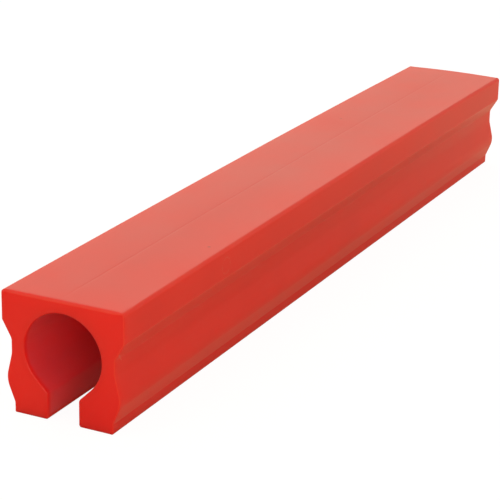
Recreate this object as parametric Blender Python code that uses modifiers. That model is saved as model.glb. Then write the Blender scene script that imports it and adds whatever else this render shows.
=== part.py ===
"""Grooved slip-on rail cap: one bar of cast polyurethane, in metres, +Z up.

The cap slides endwise over a round rail that stands on a web. The rail lies in the bore, its web comes out
through the slot, and the flat top carries the load. The section is the same from end to end. The origin is at
the middle of the underside, and the length runs along Y.
"""

import math

import bmesh
import bpy

MM = 0.001

# The bar
LENGTH = 600 * MM
WIDTH = 79 * MM
HEIGHT = 74 * MM
TOP_EDGE_RADIUS = 2.3 * MM

# The keyhole: a round bore, flanks that leave it tangentially, and a parallel slot
BORE_RADIUS = 24.8 * MM
BORE_CENTRE_Z = 41.3 * MM
FLANK_ANGLE = math.radians(45)
SLOT_WIDTH = 20 * MM
SHOULDER_RADIUS = 3 * MM

# One side, from the top down: a vertical band, a groove with a flat bottom, a round bulge and a short foot
BAND_HEIGHT = 18.4 * MM
BAND_EDGE_RADIUS = 1.5 * MM
GROOVE_HALF_WIDTH = 33.5 * MM
GROOVE_TOP_Z = 45 * MM
GROOVE_TOP_RADIUS = 5 * MM
GROOVE_BOTTOM_Z = 36 * MM
GROOVE_BOTTOM_RADIUS = 15 * MM
BULGE_CORNER = (37.4 * MM, 19.9 * MM)
BULGE_RADIUS = 16 * MM
FOOT_TOP = (32 * MM, 6.4 * MM)
FOOT_HALF_WIDTH = 31.9 * MM
FOOT_EDGE_RADIUS = 0.9 * MM
SLOT_EDGE_RADIUS = 1.6 * MM

# The rounding of both ends: larger along the top edge than round the rest of the section
TOP_END_RADIUS = 1.8 * MM
END_RADIUS = 0.8 * MM
END_SEGMENTS = 3

ARC_STEP = math.radians(7)
BORE_STEP = math.radians(5)
CAP_SPLIT_ANGLE = math.radians(0.1)
WELD_DISTANCE = 0.000001

COLOUR = (0.76, 0.035, 0.022, 1)
ROUGHNESS = 0.42


def clear_scene():
    for obj in list(bpy.data.objects):
        bpy.data.objects.remove(obj, do_unlink=True)


def new_collection(name):
    collection = bpy.data.collections.new(name)
    bpy.context.scene.collection.children.link(collection)
    return collection


def polyurethane(name):
    material = bpy.data.materials.new(name)
    material.use_nodes = True
    shader = material.node_tree.nodes["Principled BSDF"]
    shader.inputs["Base Color"].default_value = COLOUR
    shader.inputs["Roughness"].default_value = ROUGHNESS
    shader.inputs["Metallic"].default_value = 0
    material.diffuse_color = COLOUR
    return material


def arc(centre, radius, start, end, step):
    """Points along an arc, both ends included."""
    count = max(2, math.ceil(abs(end - start) / step))
    angles = [start + (end - start) * i / count for i in range(count + 1)]
    return [(centre[0] + radius * math.cos(a), centre[1] + radius * math.sin(a)) for a in angles]


def fillet(before, corner, after, radius):
    """The arc of this radius that rounds the corner between its two neighbours."""
    incoming = math.atan2(corner[1] - before[1], corner[0] - before[0])
    outgoing = math.atan2(after[1] - corner[1], after[0] - corner[0])
    turn = math.remainder(outgoing - incoming, math.tau)
    to_tangent = radius * abs(math.tan(turn / 2))
    side = math.copysign(math.pi / 2, turn)
    centre = (
        corner[0] - to_tangent * math.cos(incoming) + radius * math.cos(incoming + side),
        corner[1] - to_tangent * math.sin(incoming) + radius * math.sin(incoming + side),
    )
    start = incoming - side
    return arc(centre, radius, start, start + turn, ARC_STEP)


def half_outline():
    """The section's right half, from the bore's top down the keyhole and then up the outside to the top."""
    half_slot = SLOT_WIDTH / 2
    tangent = FLANK_ANGLE - math.pi / 2
    flank_top = (
        BORE_RADIUS * math.cos(tangent),
        BORE_CENTRE_Z + BORE_RADIUS * math.sin(tangent),
    )
    shoulder_z = flank_top[1] - (flank_top[0] - half_slot) * math.tan(FLANK_ANGLE)
    path = [
        (flank_top, 0),
        ((half_slot, shoulder_z), SHOULDER_RADIUS),
        ((half_slot, 0), SLOT_EDGE_RADIUS),
        ((FOOT_HALF_WIDTH, 0), FOOT_EDGE_RADIUS),
        (FOOT_TOP, FOOT_EDGE_RADIUS),
        (BULGE_CORNER, BULGE_RADIUS),
        ((GROOVE_HALF_WIDTH, GROOVE_BOTTOM_Z), GROOVE_BOTTOM_RADIUS),
        ((GROOVE_HALF_WIDTH, GROOVE_TOP_Z), GROOVE_TOP_RADIUS),
        ((WIDTH / 2, HEIGHT - BAND_HEIGHT), BAND_EDGE_RADIUS),
        ((WIDTH / 2, HEIGHT), TOP_EDGE_RADIUS),
        ((0, HEIGHT), 0),
    ]
    points = arc((0, BORE_CENTRE_Z), BORE_RADIUS, math.pi / 2, tangent, BORE_STEP)
    for (before, _), (corner, radius), (after, _) in zip(path, path[1:], path[2:]):
        points += fillet(before, corner, after, radius)
    return points


def outline():
    """The whole section. Its two halves meet at the top of the bore, and in the middle of the flat top."""
    right = half_outline()
    left = [(-x, z) for x, z in reversed(right)]
    return right + left[:-1]


def prism(name, points, length, collection):
    """The outline in XZ, drawn out along Y about the origin, as a mesh with one face at each end."""
    curve = bpy.data.curves.new(name, "CURVE")
    curve.dimensions = "2D"
    curve.fill_mode = "BOTH"
    curve.extrude = length / 2
    spline = curve.splines.new("POLY")
    spline.points.add(len(points) - 1)
    for point, (x, z) in zip(spline.points, points):
        point.co = (x, z, 0, 1)
    spline.use_cyclic_u = True
    drawn = bpy.data.objects.new(name + "_outline", curve)
    drawn.rotation_euler.x = math.pi / 2
    collection.objects.link(drawn)
    bpy.context.view_layer.update()

    evaluated = drawn.evaluated_get(bpy.context.evaluated_depsgraph_get())
    solid = bpy.data.objects.new(name, bpy.data.meshes.new_from_object(evaluated))
    solid.data.name = name
    solid.matrix_world = drawn.matrix_world
    collection.objects.link(solid)
    bpy.data.objects.remove(drawn, do_unlink=True)

    welded = bmesh.new()
    welded.from_mesh(solid.data)
    bmesh.ops.remove_doubles(welded, verts=welded.verts, dist=WELD_DISTANCE)
    bmesh.ops.dissolve_limit(welded, angle_limit=CAP_SPLIT_ANGLE, verts=welded.verts, edges=welded.edges)
    bmesh.ops.recalc_face_normals(welded, faces=welded.faces)
    welded.to_mesh(solid.data)
    welded.free()
    return solid


def top_share(point):
    """How far a point of an end's rim belongs to the top edge: 1 on the flat top, 0 from the side band down."""
    below_top = HEIGHT - point.y
    return max(0, 1 - below_top / TOP_EDGE_RADIUS)


def round_ends(solid):
    """Rounds both ends' rims, with a weight on each edge for the larger radius along the top."""
    mesh = solid.data
    weights = mesh.attributes.new("bevel_weight_edge", "FLOAT", "EDGE")
    for edge in mesh.edges:
        start, end = (mesh.vertices[i].co for i in edge.vertices)
        if abs(start.z - end.z) > WELD_DISTANCE:
            continue
        share = (top_share(start) + top_share(end)) / 2
        radius = END_RADIUS + (TOP_END_RADIUS - END_RADIUS) * share
        weights.data[edge.index].value = radius / TOP_END_RADIUS
    bevel = solid.modifiers.new("rounded ends", "BEVEL")
    bevel.limit_method = "WEIGHT"
    bevel.width = TOP_END_RADIUS
    bevel.segments = END_SEGMENTS


def rail_cap(collection):
    cap = prism("rail_cap", outline(), LENGTH, collection)
    round_ends(cap)
    cap.data.shade_smooth()
    cap.data.set_sharp_from_angle(angle=math.radians(30))
    cap.data.materials.append(polyurethane("red_polyurethane"))
    return cap


def main():
    clear_scene()
    rail_cap(new_collection("grooved_rail_cap"))


main()
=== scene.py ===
"""The looks of the grooved rail cap: its detailed bar, its material, the floor, the lights and the camera."""

import math

import bmesh
import bpy
from mathutils import Matrix, Vector, noise


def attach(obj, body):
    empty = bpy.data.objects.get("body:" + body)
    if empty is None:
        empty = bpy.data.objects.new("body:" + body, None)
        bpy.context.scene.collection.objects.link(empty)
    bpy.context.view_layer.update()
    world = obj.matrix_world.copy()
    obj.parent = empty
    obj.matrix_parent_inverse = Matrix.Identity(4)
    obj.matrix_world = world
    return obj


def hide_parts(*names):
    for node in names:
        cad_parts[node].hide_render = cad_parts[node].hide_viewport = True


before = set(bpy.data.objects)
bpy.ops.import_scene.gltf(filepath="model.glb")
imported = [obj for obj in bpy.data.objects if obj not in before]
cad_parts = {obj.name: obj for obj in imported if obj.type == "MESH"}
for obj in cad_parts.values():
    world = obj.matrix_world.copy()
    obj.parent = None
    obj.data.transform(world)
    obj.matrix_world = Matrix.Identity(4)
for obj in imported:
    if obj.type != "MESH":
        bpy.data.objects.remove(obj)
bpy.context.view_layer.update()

MM = 0.001

# The section, as in the CAD model
LENGTH = 600 * MM
WIDTH = 79 * MM
HEIGHT = 74 * MM
TOP_EDGE_RADIUS = 2.3 * MM
BORE_RADIUS = 24.8 * MM
BORE_CENTRE_Z = 41.3 * MM
FLANK_ANGLE = math.radians(45)
SLOT_WIDTH = 20 * MM
SLOT_EDGE_RADIUS = 1.6 * MM
SHOULDER_RADIUS = 3 * MM
BAND_HEIGHT = 18.4 * MM
BAND_EDGE_RADIUS = 1.5 * MM
GROOVE_HALF_WIDTH = 33.5 * MM
GROOVE_TOP_Z = 45 * MM
GROOVE_TOP_RADIUS = 5 * MM
GROOVE_BOTTOM_Z = 36 * MM
GROOVE_BOTTOM_RADIUS = 15 * MM
BULGE_CORNER = (37.4 * MM, 19.9 * MM)
BULGE_RADIUS = 16 * MM
FOOT_TOP = (32 * MM, 6.4 * MM)
FOOT_HALF_WIDTH = 31.9 * MM
FOOT_EDGE_RADIUS = 0.9 * MM

# The rounding of the ends, larger along the top face. It stays under a share of the outline's own radius, where
# a bend under 1 per metre counts as straight, and it changes gently from point to point
TOP_END_RADIUS = 1.8 * MM
END_RADIUS = 0.8 * MM
END_RINGS = 6
CAP_MARGIN = 0.15 * MM
FACES_UP = 0.9
MOST_OF_OUTLINE_RADIUS = 0.7
STRAIGHT_BEND = 1
RADIUS_SLOPE = 0.25

# What the casting adds: an arch along the top, far top corners that droop, uneven faces and a mould line
ARCH = 1 * MM
FAR_DROOP = 0.8 * MM
UNEVENNESS = 0.12 * MM
SHORT_WAVES = (25, 14, 25)
LONG_WAVES = (9, 5, 9)
LONG_WAVES_START = 7
MOULD_LINE_X = -2.1 * MM
MOULD_LINE_WIDTH = 0.8 * MM
MOULD_LINE_DEPTH = 0.09 * MM
MOULD_LINE_FADE = 40 * MM
MOULD_LINE_STEPS = 4
MOULD_LINE_CLEAR = 1.5 * MOULD_LINE_WIDTH

# How finely the bar is divided, and how near a point is to a surface that it lies on
ARC_STEP = math.radians(5)
POINT_SPACING = 2 * MM
STATION_SPACING = 5 * MM
TOLERANCE = 0.001 * MM

# An edge this sharp or sharper is fully worn, and takes the full painted edge highlight
WORN_HIGHLIT_EDGE_RADIUS = 1.2 * MM

# A face leans outwards and down when the upward part of its direction lies between these, and there a painted
# sheen goes
LEANING_MOST = -0.7
LEANING_LEAST = -0.25

# The polyurethane's colours
DEEP_RED = (0.86, 0.013, 0.014, 1)
BRIGHT_RED = (0.92, 0.019, 0.017, 1)
# The paler edge colour: partly wear, partly a painted highlight along the rounded edges
WORN_AND_HIGHLIT_RED = (0.94, 0.080, 0.038, 1)
# Dark red: the speck's own colour, and painted shade inside the pits
SPECK_AND_PIT_SHADE_RED = (0.30, 0.010, 0.010, 1)
SCUFF = (0.85, 0.25, 0.20, 1)
BORE_FILM = (0.88, 0.085, 0.125, 1)

# Its patterns: how many a metre, and the part of each one's range that is used
CLOUDS = 16
CLOUD_RANGE = (0.35, 0.65)
WIDE_CLOUD_RANGE = (0.3, 0.7)
STREAKS = (140, 3, 140)
STREAK_RANGE = (0.45, 0.75)
SCRATCHES = (900, 14, 900)
SCRATCH_RANGE = (0.66, 0.8)
SCUFFED_CLOUDS = (0.45, 0.6)
GRAIN = 900
GRAIN_RANGE = (0.4, 0.6)
PIT_CELLS = 60
PITTED_CELLS = 0.8
PIT_RANGE = (0.02, 0.07)

# How strongly each one colours the surface
STREAK_COLOUR = 0.06
SCUFF_COLOUR = 0.12
# The paler edge colour's strength covers wear and the painted edge highlight together
WEAR_AND_HIGHLIGHT_COLOUR = (0.2, 0.5)
BORE_FILM_COLOUR = 0.8
# A painted sheen: it stands in for the floor's reflection on faces that lean out and down
PAINTED_SHEEN = 0.12
# How much painted shade darkens the inside of each pit
PIT_SHADE = 0.5

# Its gloss, its relief and the depth of its glow
ROUGHNESS = 0.36
ROUGHNESS_SWING = 0.03
SCUFF_ROUGHNESS = 0.1
STREAK_DEPTH = 0.15
GRAIN_DEPTH = 0.06
SCRATCH_DEPTH = 0.08
PIT_DEPTH = 0.6
RELIEF_STRENGTH = 0.1
RELIEF = 0.1 * MM
SPECULAR = 0.43
GLOW = 1
GLOW_RADIUS = (1.0, 0.12, 0.08)
GLOW_SCALE = 12 * MM

# Three marks: a dark speck in the top, a faint rubbed ring on the right side's band, and a painted highlight, a
# pale line near its groove's near end
SPECK_PLACE = (29.1 * MM, -183.4 * MM, 73.6 * MM)
SPECK_RADIUS = 1.4 * MM
SPECK_CORE = 0.3 * SPECK_RADIUS
SPECK_COLOUR = 0.45
RUB_PLACE = (39.5 * MM, -181 * MM, 63 * MM)
RUB_RADIUS = 5 * MM
RUB_WIDTH = 0.8 * MM
RUB_COLOUR = 0.3
GLINT_TOP = (35.4 * MM, -299 * MM, 48.4 * MM)
GLINT_BOTTOM = (33.5 * MM, -292.5 * MM, 42.5 * MM)
GLINT_SPREAD = 0.15 * MM
GLINT_COLOUR = 0.5

# A Mix node's two colour sockets
COLOUR_A = 6
COLOUR_B = 7

WHITE = (1, 1, 1, 1)
WARM_WHITE = (1, 0.95, 0.73, 1)

# The floor: its size in metres, the light it throws back, its looks and its glow. The glow differs along a
# strip beside the bar, and further back. A reach is a stretch along Y
FLOOR_HALF_SIZE = 12
FLOOR_SEGMENTS = 4
FLOOR_DROP = 0.1 * MM
FLOOR_BOUNCE = (0.60, 0.50, 0.36, 1)
FLOOR_PALE = (0.12, 0.12, 0.13, 1)
FLOOR_LIFT = 0.94
FLOOR_GLOW = 0.062
BACK_GLOW = 0.16
BACK_GLOW_REACH = (0.3, 0.8)
STRIP_MIDDLE = 0.1
STRIP_HALF_WIDTH = 0.1
STRIP_CORE = 0.5 * STRIP_HALF_WIDTH
STRIP_REACH = (0, 0.6)
STRIP_GLOW_NEAR = 0.086
STRIP_GLOW_FAR = 0.36

# The room's light from each side, and where in the direction one side turns into the next
ROOM_LEFT = 0.815
ROOM_RIGHT_FRONT = 0.60
ROOM_RIGHT_BACK = 0.66
ROOM_DEPTH = (-0.1, 0.5)
ROOM_TURN = (-0.33, 0)

# Each soft light: where it stands (azimuth from -Y towards +X, and elevation, in degrees), its distance, its
# sides in metres and its power in watts
SOFTBOXES = {
    "front": (27, 12, 1.6, (1.2, 1.0), 4.8),
    "back": (212, 25, 2.4, (1.8, 0.9), 3.6),
}
LIT_POINT = Vector((0, 0, 0.04))

# The camera: its sensor and lens in millimetres, its place in metres, and its turns in degrees
SENSOR_WIDTH = 36
LENS = 132.54
CAMERA_PLACE = (0.5044, -1.0906, 0.4353)
CAMERA_AZIMUTH = 26.3
CAMERA_ELEVATION = 19.53
CAMERA_ROLL = 1.14


def arc(centre, radius, start, end):
    """Points along an arc, both ends included."""
    count = max(2, math.ceil(abs(end - start) / ARC_STEP))
    angles = [start + (end - start) * i / count for i in range(count + 1)]
    return [(centre[0] + radius * math.cos(a), centre[1] + radius * math.sin(a)) for a in angles]


def fillet(before, corner, after, radius):
    """The arc of this radius that rounds the corner between its two neighbours."""
    incoming = math.atan2(corner[1] - before[1], corner[0] - before[0])
    outgoing = math.atan2(after[1] - corner[1], after[0] - corner[0])
    turn = math.remainder(outgoing - incoming, math.tau)
    to_tangent = radius * abs(math.tan(turn / 2))
    side = math.copysign(math.pi / 2, turn)
    centre = (
        corner[0] - to_tangent * math.cos(incoming) + radius * math.cos(incoming + side),
        corner[1] - to_tangent * math.sin(incoming) + radius * math.sin(incoming + side),
    )
    start = incoming - side
    return arc(centre, radius, start, start + turn)


def divided(points, closed_at):
    """The path with points added along its straight stretches. closed_at is where its last stretch ends."""
    result = []
    for (x0, z0), (x1, z1) in zip(points, points[1:] + [closed_at]):
        count = max(1, round(math.hypot(x1 - x0, z1 - z0) / POINT_SPACING))
        result += [(x0 + (x1 - x0) * i / count, z0 + (z1 - z0) * i / count) for i in range(count)]
    return result


def half_outline():
    """The section's right half, from the bore's top down the keyhole and then up the outside to the top."""
    half_slot = SLOT_WIDTH / 2
    tangent = FLANK_ANGLE - math.pi / 2
    flank_top = (
        BORE_RADIUS * math.cos(tangent),
        BORE_CENTRE_Z + BORE_RADIUS * math.sin(tangent),
    )
    shoulder_z = flank_top[1] - (flank_top[0] - half_slot) * math.tan(FLANK_ANGLE)
    path = [
        (flank_top, 0),
        ((half_slot, shoulder_z), SHOULDER_RADIUS),
        ((half_slot, 0), SLOT_EDGE_RADIUS),
        ((FOOT_HALF_WIDTH, 0), FOOT_EDGE_RADIUS),
        (FOOT_TOP, FOOT_EDGE_RADIUS),
        (BULGE_CORNER, BULGE_RADIUS),
        ((GROOVE_HALF_WIDTH, GROOVE_BOTTOM_Z), GROOVE_BOTTOM_RADIUS),
        ((GROOVE_HALF_WIDTH, GROOVE_TOP_Z), GROOVE_TOP_RADIUS),
        ((WIDTH / 2, HEIGHT - BAND_HEIGHT), BAND_EDGE_RADIUS),
        ((WIDTH / 2, HEIGHT), TOP_EDGE_RADIUS),
        ((0, HEIGHT), 0),
    ]
    points = arc((0, BORE_CENTRE_Z), BORE_RADIUS, math.pi / 2, tangent)
    for (before, _), (corner, radius), (after, _) in zip(path, path[1:], path[2:]):
        points += fillet(before, corner, after, radius)
    return divided(points, (0, HEIGHT))


def on_top(z):
    """Whether a point of the section at this height lies on its flat top."""
    return z > HEIGHT - TOLERANCE


def outline():
    """The whole section as a closed ring, material on its left, its points closest at the mould line."""
    right = half_outline()
    left = [(-x, z) for x, z in reversed(right[1:])]
    plain = [(x, z) for x, z in left if not on_top(z) or abs(x - MOULD_LINE_X) > MOULD_LINE_CLEAR]
    steps = range(-MOULD_LINE_STEPS, MOULD_LINE_STEPS + 1)
    line = [(MOULD_LINE_X - MOULD_LINE_WIDTH * i / MOULD_LINE_STEPS, HEIGHT) for i in steps]
    before_line = [(x, z) for x, z in plain if on_top(z) and x > MOULD_LINE_X]
    return right + [(0, HEIGHT)] + before_line + line + plain[len(before_line) :]


def in_keyhole(x, z):
    """1 on the bore, its flanks and the slot's walls, 0 on the outside and the underside."""
    in_bore = math.hypot(x, z - BORE_CENTRE_Z) < BORE_RADIUS + TOLERANCE
    return float(in_bore or abs(x) < BORE_RADIUS and SLOT_EDGE_RADIUS < z < BORE_CENTRE_Z)


def sheen_faces(x, nz):
    """1 on the groove's upper flank and on the skirt above the foot, which face outwards and down and get a
    painted sheen that stands in for the floor's reflection.
    """
    return float(abs(x) > BORE_RADIUS and LEANING_MOST < nz < LEANING_LEAST)


def turns(ring):
    """At each point of the ring, the outward direction and how sharply the outline bends out, per metre."""
    result = []
    for i, (x, z) in enumerate(ring):
        x0, z0 = ring[i - 1]
        x1, z1 = ring[(i + 1) % len(ring)]
        before = math.hypot(x - x0, z - z0)
        after = math.hypot(x1 - x, z1 - z)
        incoming = math.atan2(z - z0, x - x0)
        turn = math.remainder(math.atan2(z1 - z, x1 - x) - incoming, math.tau)
        heading = incoming + turn / 2
        result.append((math.sin(heading), -math.cos(heading), turn / (before + after) * 2))
    return result


def end_radii(ring, bends):
    """The rounding of an end at each point: large along the top, small elsewhere and at tight corners."""
    radii = []
    for (_, z), (_, up, bend) in zip(ring, bends):
        radius = TOP_END_RADIUS if up > FACES_UP and z > HEIGHT / 2 else END_RADIUS
        radii.append(min(radius, MOST_OF_OUTLINE_RADIUS / max(bend, STRAIGHT_BEND)))
    count = len(ring)
    # Twice round each way, so that a small radius grows gently into its larger neighbours on both sides
    for order in (range(2 * count), range(2 * count, 0, -1)):
        for i in order:
            here, last = i % count, (i - order.step) % count
            reach = math.dist(ring[here], ring[last]) * RADIUS_SLOPE
            radii[here] = min(radii[here], radii[last] + reach)
    return radii


def waves(x, y, z, per_metre, start=0):
    """A smooth made-up height between -1 and 1, with this many waves a metre along each axis."""
    along_x, along_y, along_z = per_metre
    return noise.noise(Vector((x * along_x + start, y * along_y, z * along_z)))


def sink(x, y, z):
    """How far a point of the surface lies below the true section: half of the unevenness, on average."""
    height = waves(x, y, z, SHORT_WAVES) + waves(x, y, z, LONG_WAVES, LONG_WAVES_START)
    depth = UNEVENNESS * (0.5 + 0.25 * height) * min(1, z / BULGE_CORNER[1])
    if on_top(z):
        fade = min(1, (LENGTH / 2 - abs(y)) / MOULD_LINE_FADE)
        off = abs(x - MOULD_LINE_X) / MOULD_LINE_WIDTH
        depth += MOULD_LINE_DEPTH * fade * max(0, 1 - off)
    return depth


def arch_drop(x, y, z):
    """How far a point sinks towards the ends: most at the far end's top corners, and nothing underneath."""
    along = 2 * y / LENGTH
    droop = FAR_DROOP * max(0, along) ** 2 * (2 * x / WIDTH) ** 2
    return (ARCH * along**2 + droop) * z / HEIGHT


def stations():
    """Each ring as (place along Y, share of the end's radius off its outline, share that it stands in)."""
    near = []
    for i in range(END_RINGS + 1):
        angle = math.pi / 2 * (1 - i / END_RINGS)
        near.append((-LENGTH / 2, 1 - math.cos(angle), 1 - math.sin(angle)))
    inner = LENGTH / 2 - 2 * TOP_END_RADIUS
    count = round(2 * inner / STATION_SPACING)
    middle = [(-inner + 2 * inner * i / count, 0, 0) for i in range(count + 1)]
    far = [(-y, cut, back) for y, cut, back in reversed(near)]
    return near + middle + far


def add_ring(mesh, section, station, margin=0):
    """One ring of the bar's vertices, this margin further in, with the marks that the material reads."""
    layers = mesh.verts.layers.float
    wear_and_edge_highlight, keyhole, painted_sheen = (layers[name] for name in ("wear_and_edge_highlight", "keyhole", "painted_sheen"))
    y, cut, back = station
    ring = []
    for (x, z), (nx, nz, bend), radius in section:
        inward = radius * cut + sink(x, y, z) + margin
        place = y + math.copysign(radius * back, -y)
        vert = mesh.verts.new((x - nx * inward, place, z - nz * inward - arch_drop(x, place, z)))
        if margin == 0 and not in_keyhole(x, z):
            # The end rims' middles and the sharp bends get paler: wear plus a painted edge highlight
            rim_wear_and_highlight = 4 * cut * (1 - cut)
            vert[wear_and_edge_highlight] = min(1, max(0, bend * WORN_HIGHLIT_EDGE_RADIUS) + rim_wear_and_highlight)
        if cut == 0 and back == 0:
            vert[keyhole] = in_keyhole(x, z)
            # Faces that lean out and down are marked for a painted sheen
            vert[painted_sheen] = sheen_faces(x, nz)
        ring.append(vert)
    return ring


def bar_mesh(name):
    """The whole bar as one closed mesh, from its near end's cap to its far end's."""
    outer = outline()
    bends = turns(outer)
    section = list(zip(outer, bends, end_radii(outer, bends)))
    mesh = bmesh.new()
    for mark in ("wear_and_edge_highlight", "keyhole", "painted_sheen"):
        mesh.verts.layers.float.new(mark)
    rows = stations()
    rings = [add_ring(mesh, section, rows[0], CAP_MARGIN)]
    rings += [add_ring(mesh, section, row) for row in rows]
    rings.append(add_ring(mesh, section, rows[-1], CAP_MARGIN))
    for near, far in zip(rings, rings[1:]):
        for i in range(len(outer)):
            j = (i + 1) % len(outer)
            mesh.faces.new((near[j], near[i], far[i], far[j]))
    mesh.faces.new(rings[0])
    mesh.faces.new(rings[-1][::-1])
    for face in mesh.faces:
        face.smooth = True
    data = bpy.data.meshes.new(name)
    mesh.to_mesh(data)
    mesh.free()
    return data


class Shader:
    """A material's node tree, with short ways to add and join nodes."""

    def __init__(self, name):
        self.material = bpy.data.materials.new(name)
        self.material.use_nodes = True
        self.tree = self.material.node_tree
        self.principled = self.tree.nodes["Principled BSDF"]
        self.output = self.tree.nodes["Material Output"]

    def add(self, kind, inputs=(), **settings):
        """A new node, with these inputs joined or set, and these settings."""
        node = self.tree.nodes.new(kind)
        for name, value in settings.items():
            setattr(node, name, value)
        for key, value in dict(inputs).items():
            self.put(value, node.inputs[key])
        return node

    def put(self, value, socket):
        """Joins another node's output to this socket, or sets the socket itself."""
        if isinstance(value, bpy.types.NodeSocket):
            self.tree.links.new(value, socket)
        else:
            socket.default_value = value

    def attribute(self, name):
        return self.add("ShaderNodeAttribute", attribute_name=name).outputs["Fac"]

    def noise(self, place, scale, detail):
        settings = {"Vector": place, "Scale": scale, "Detail": detail}
        return self.add("ShaderNodeTexNoise", settings).outputs["Fac"]

    def stretched_noise(self, place, scale, detail):
        longer = self.add("ShaderNodeMapping", {"Vector": place, "Scale": scale}).outputs["Vector"]
        return self.noise(longer, 1, detail)

    def math(self, operation, a, b=0.0):
        return self.add("ShaderNodeMath", {0: a, 1: b}, operation=operation).outputs[0]

    def times(self, a, b):
        return self.math("MULTIPLY", a, b)

    def apart(self, a, b):
        """How far two values are from each other."""
        return self.math("ABSOLUTE", self.math("SUBTRACT", a, b))

    def distance(self, place, point):
        return self.add("ShaderNodeVectorMath", {0: place, 1: point}, operation="DISTANCE").outputs["Value"]

    def ramp(self, value, low, high, to_low=0.0, to_high=1.0):
        settings = {"Value": value, "From Min": low, "From Max": high, "To Min": to_low, "To Max": to_high}
        return self.add("ShaderNodeMapRange", settings).outputs["Result"]

    def mix(self, factor, a, b):
        node = self.add("ShaderNodeMix", data_type="RGBA")
        self.put(factor, node.inputs["Factor"])
        self.put(a, node.inputs[COLOUR_A])
        self.put(b, node.inputs[COLOUR_B])
        return node.outputs[2]

    def emission(self, colour, strength):
        return self.add("ShaderNodeEmission", {"Color": colour, "Strength": strength}).outputs[0]

    def both(self, a, b):
        return self.add("ShaderNodeAddShader", {0: a, 1: b}).outputs[0]

    def choice(self, factor, a, b):
        return self.add("ShaderNodeMixShader", {0: factor, 1: a, 2: b}).outputs[0]


def pits(shader, place):
    """Small round pits, in a few of the cells that the surface is divided into."""
    cells = shader.add("ShaderNodeTexVoronoi", {"Vector": place, "Scale": PIT_CELLS})
    pitted = shader.math("GREATER_THAN", cells.outputs["Color"], PITTED_CELLS)
    return shader.times(pitted, shader.ramp(cells.outputs["Distance"], *PIT_RANGE, 1, 0))


def with_marks(shader, colour, place, grain):
    """The colour with the speck, the rubbed ring and the painted highlight line in the groove in it."""
    speck = shader.ramp(shader.distance(place, SPECK_PLACE), SPECK_CORE, SPECK_RADIUS, SPECK_COLOUR, 0)
    colour = shader.mix(speck, colour, SPECK_AND_PIT_SHADE_RED)
    off_rim = shader.apart(shader.distance(place, RUB_PLACE), RUB_RADIUS)
    rub = shader.times(shader.ramp(off_rim, 0, RUB_WIDTH, RUB_COLOUR, 0), shader.ramp(grain, *GRAIN_RANGE))
    colour = shader.mix(rub, colour, SCUFF)
    # A pale line painted as the highlight on the groove's rounded near end edge
    to_ends = shader.math("ADD", shader.distance(place, GLINT_TOP), shader.distance(place, GLINT_BOTTOM))
    glint_length = math.dist(GLINT_TOP, GLINT_BOTTOM)
    glint = shader.ramp(to_ends, glint_length, glint_length + GLINT_SPREAD, GLINT_COLOUR, 0)
    return shader.mix(glint, colour, SCUFF)


def polyurethane(name):
    """Cast polyurethane: a clear, deep red with faint flow streaks, scuffs, pits with painted shade in them,
    paler edges that are part wear and part painted highlight, a painted sheen on faces that lean out and down,
    and a painted highlight line in the groove.
    """
    shader = Shader(name)
    place = shader.add("ShaderNodeTexCoord").outputs["Object"]
    clouds = shader.noise(place, CLOUDS, detail=4)
    streaks = shader.stretched_noise(place, STREAKS, detail=4)
    scratches = shader.stretched_noise(place, SCRATCHES, detail=2)
    grain = shader.noise(place, GRAIN, detail=2)
    scuffed = shader.times(shader.ramp(scratches, *SCRATCH_RANGE), shader.ramp(clouds, *SCUFFED_CLOUDS))
    pit = pits(shader, place)

    colour = shader.mix(shader.ramp(clouds, *CLOUD_RANGE), DEEP_RED, BRIGHT_RED)
    colour = shader.mix(shader.ramp(streaks, *STREAK_RANGE, 0, STREAK_COLOUR), colour, DEEP_RED)
    colour = shader.mix(shader.times(scuffed, SCUFF_COLOUR), colour, SCUFF)
    # Paler edges: wear, and a painted highlight where the edges and end rims round off
    worn_and_highlit = shader.times(shader.attribute("wear_and_edge_highlight"), shader.ramp(clouds, *WIDE_CLOUD_RANGE, *WEAR_AND_HIGHLIGHT_COLOUR))
    colour = shader.mix(worn_and_highlit, colour, WORN_AND_HIGHLIT_RED)
    colour = shader.mix(shader.times(shader.attribute("keyhole"), BORE_FILM_COLOUR), colour, BORE_FILM)
    # A painted sheen, the floor's reflection, on the groove's upper flank and on the skirt
    colour = shader.mix(shader.times(shader.attribute("painted_sheen"), PAINTED_SHEEN), colour, SCUFF)
    # Painted shade inside the pits
    colour = shader.mix(shader.times(pit, PIT_SHADE), colour, SPECK_AND_PIT_SHADE_RED)
    colour = with_marks(shader, colour, place, grain)

    smoothest, roughest = ROUGHNESS - ROUGHNESS_SWING, ROUGHNESS + ROUGHNESS_SWING
    rough = shader.ramp(clouds, *WIDE_CLOUD_RANGE, smoothest, roughest)
    rough = shader.math("ADD", rough, shader.times(scuffed, SCUFF_ROUGHNESS))

    height = shader.times(streaks, STREAK_DEPTH)
    height = shader.math("ADD", height, shader.times(grain, GRAIN_DEPTH))
    height = shader.math("SUBTRACT", height, shader.times(scratches, SCRATCH_DEPTH))
    height = shader.math("SUBTRACT", height, shader.times(pit, PIT_DEPTH))
    relief = shader.add("ShaderNodeBump", {"Height": height, "Strength": RELIEF_STRENGTH, "Distance": RELIEF})

    finish = {
        "Base Color": colour,
        "Roughness": rough,
        "Normal": relief.outputs["Normal"],
        "Specular IOR Level": SPECULAR,
        "Subsurface Weight": GLOW,
        "Subsurface Radius": GLOW_RADIUS,
        "Subsurface Scale": GLOW_SCALE,
    }
    for socket, value in finish.items():
        shader.put(value, shader.principled.inputs[socket])
    return shader.material


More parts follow.
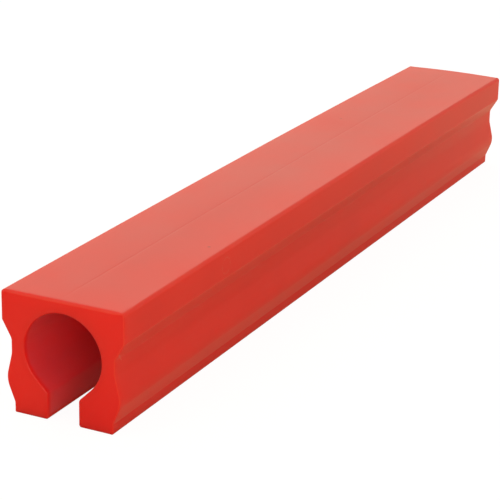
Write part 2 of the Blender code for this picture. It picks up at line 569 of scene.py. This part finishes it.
def pale_floor(name):
    """The floor's material: it looks nearly white, throws back less light, and is clear from below."""
    shader = Shader(name)
    shader.tree.nodes.remove(shader.principled)
    place = shader.add("ShaderNodeTexCoord").outputs["Object"]
    across = shader.add("ShaderNodeSeparateXYZ", {0: place}).outputs
    beside = shader.ramp(across["Y"], *STRIP_REACH, STRIP_GLOW_NEAR, STRIP_GLOW_FAR)
    open_floor = shader.ramp(across["Y"], *BACK_GLOW_REACH, FLOOR_GLOW, BACK_GLOW)
    off_strip = shader.apart(across["X"], STRIP_MIDDLE)
    glow = shader.ramp(off_strip, STRIP_CORE, STRIP_HALF_WIDTH, beside, open_floor)

    dull = shader.add("ShaderNodeBsdfDiffuse", {"Color": FLOOR_BOUNCE}).outputs[0]
    pale = shader.add("ShaderNodeBsdfDiffuse", {"Color": FLOOR_PALE}).outputs[0]
    thrown = shader.both(dull, shader.emission(WARM_WHITE, glow))
    looks = shader.both(pale, shader.emission(WHITE, FLOOR_LIFT))
    seen = shader.add("ShaderNodeLightPath").outputs["Is Camera Ray"]
    from_above = shader.choice(seen, thrown, looks)
    below = shader.add("ShaderNodeNewGeometry").outputs["Backfacing"]
    clear = shader.add("ShaderNodeBsdfTransparent").outputs[0]
    shader.put(shader.choice(below, from_above, clear), shader.output.inputs["Surface"])
    return shader.material


def floor():
    """A plain pale floor under the bar."""
    mesh = bmesh.new()
    bmesh.ops.create_grid(mesh, x_segments=FLOOR_SEGMENTS, y_segments=FLOOR_SEGMENTS, size=FLOOR_HALF_SIZE)
    data = bpy.data.meshes.new("floor")
    mesh.to_mesh(data)
    mesh.free()
    data.materials.append(pale_floor("pale_floor"))
    plane = bpy.data.objects.new("floor", data)
    plane.location.z = -FLOOR_DROP
    bpy.context.scene.collection.objects.link(plane)


def room():
    """White walls all round. As a light they are dimmer than they look, and dimmest in front on the right."""
    world = bpy.data.worlds.new("studio")
    bpy.context.scene.world = world
    world.use_nodes = True
    tree = world.node_tree
    link = tree.links.new
    background = tree.nodes["Background"]

    def between(value, low, high, to_low, to_high):
        """A smooth change from one strength to another as the value goes from low to high."""
        node = tree.nodes.new("ShaderNodeMapRange")
        node.interpolation_type = "SMOOTHSTEP"
        for key, setting in zip(("From Min", "From Max", "To Min", "To Max"), (low, high, to_low, to_high)):
            if isinstance(setting, bpy.types.NodeSocket):
                link(setting, node.inputs[key])
            else:
                node.inputs[key].default_value = setting
        link(value, node.inputs["Value"])
        return node.outputs["Result"]

    facing = tree.nodes.new("ShaderNodeSeparateXYZ")
    link(tree.nodes.new("ShaderNodeTexCoord").outputs["Generated"], facing.inputs[0])
    right = between(facing.outputs["Y"], *ROOM_DEPTH, ROOM_RIGHT_FRONT, ROOM_RIGHT_BACK)
    strength = between(facing.outputs["X"], *ROOM_TURN, ROOM_LEFT, right)
    seen = tree.nodes.new("ShaderNodeLightPath").outputs["Is Camera Ray"]
    link(between(seen, 0, 1, strength, 1), background.inputs["Strength"])
    colour = tree.nodes.new("ShaderNodeMix")
    colour.data_type = "RGBA"
    colour.inputs[COLOUR_A].default_value = WARM_WHITE
    colour.inputs[COLOUR_B].default_value = WHITE
    link(seen, colour.inputs["Factor"])
    link(colour.outputs[2], background.inputs["Color"])


def direction(azimuth, elevation):
    """The unit vector from the object towards this azimuth and elevation."""
    flat = math.cos(elevation)
    return Vector((math.sin(azimuth) * flat, -math.cos(azimuth) * flat, math.sin(elevation)))


def softboxes():
    """The soft lights, each turned towards the bar's middle."""
    for name, (azimuth, elevation, distance, sides, power) in SOFTBOXES.items():
        lamp = bpy.data.lights.new(name, "AREA")
        lamp.shape = "RECTANGLE"
        lamp.size, lamp.size_y = sides
        lamp.energy = power
        lamp.color = WARM_WHITE[:3]
        light = bpy.data.objects.new(name, lamp)
        away = direction(math.radians(azimuth), math.radians(elevation))
        light.location = LIT_POINT + away * distance
        light.rotation_euler = away.to_track_quat("Z", "Y").to_euler()
        bpy.context.scene.collection.objects.link(light)


def camera():
    """The scene's camera, a long lens that looks down along the bar from its near end's right."""
    lens = bpy.data.cameras.new("camera")
    lens.sensor_width = SENSOR_WIDTH
    lens.lens = LENS
    seat = bpy.data.objects.new("camera", lens)
    turn = Matrix.Rotation(math.radians(CAMERA_AZIMUTH), 4, "Z")
    tilt = Matrix.Rotation(math.radians(90 - CAMERA_ELEVATION), 4, "X")
    roll = Matrix.Rotation(math.radians(CAMERA_ROLL), 4, "Z")
    seat.matrix_world = Matrix.Translation(CAMERA_PLACE) @ turn @ tilt @ roll
    bpy.context.scene.collection.objects.link(seat)
    bpy.context.scene.camera = seat


def main():
    """Makes the bar in place of the CAD solid, then the stage around it."""
    camera()
    bar = bpy.data.objects.new("polyurethane_bar", bar_mesh("polyurethane_bar"))
    bar.data.materials.append(polyurethane("red_polyurethane"))
    bpy.context.scene.collection.objects.link(bar)
    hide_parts("rail_cap")
    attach(bar, "root")
    floor()
    room()
    softboxes()
    bpy.context.scene.view_settings.view_transform = "Standard"


main()
